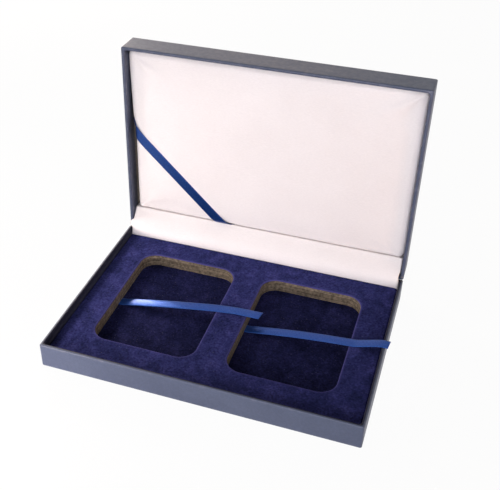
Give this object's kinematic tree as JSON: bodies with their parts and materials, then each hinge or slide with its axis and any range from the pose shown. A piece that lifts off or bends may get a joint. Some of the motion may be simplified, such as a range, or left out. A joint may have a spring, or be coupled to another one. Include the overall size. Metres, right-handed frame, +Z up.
{
  "type": "coin display case",
  "caption": "Shallow hinged case of covered board: velvet platform with two rounded wells and pull ribbons below, padded satin panel with a certificate ribbon in the lid.",
  "frame": {"origin": "middle of the underside of the base, on the surface that the case stands on", "axes": "+Z up, +X to the right along the width, +Y to the back where the hinge is"},
  "size_m": [0.1865, 0.1459, 0.1422],
  "materials": {
    "leatherette": "fine-grained navy leatherette, satin sheen",
    "grey_board": "raw grey board",
    "lining_card": "smooth card",
    "layered_board": "die-cut edge of layered board",
    "navy_velvet": "short-pile flocked velvet",
    "blue_ribbon": "woven satin ribbon",
    "white_satin": "white satin with a soft sheen",
    "pad_foam": "soft wadding, not seen",
    "hinge_steel": "plated steel strip"
  },
  "bodies": {
    "base": {"base_board_tray": "grey_board", "base_wrap": "leatherette", "floor_card": "lining_card", "floor_velvet": "navy_velvet", "platform_board_1": "layered_board", "platform_board_2": "layered_board", "platform_board_3": "layered_board", "platform_board_4": "layered_board", "platform_velvet": "navy_velvet", "pull_ribbon_left": "blue_ribbon", "pull_ribbon_right": "blue_ribbon", "base_hinge_leaf": "hinge_steel", "base_hinge_rivets": "hinge_steel", "hinge_pin": "hinge_steel", "hinge_lining": "white_satin"},
    "lid": {"lid_board_tray": "grey_board", "lid_wrap": "leatherette", "lid_hinge_leaf": "hinge_steel", "lid_hinge_rivets": "hinge_steel", "pad_card": "lining_card", "pad_foam": "pad_foam", "pad_satin": "white_satin", "certificate_ribbon": "blue_ribbon"}
  },
  "joints": [
    {"name": "lid_hinge", "type": "hinge", "parent": "base", "child": "lid", "pos_m": [0, 0.0627, 0.01555], "axis": [1, 0, 0], "range_deg": [0, 91], "deforming": ["hinge_lining", "pull_ribbon_right"]}
  ]
}
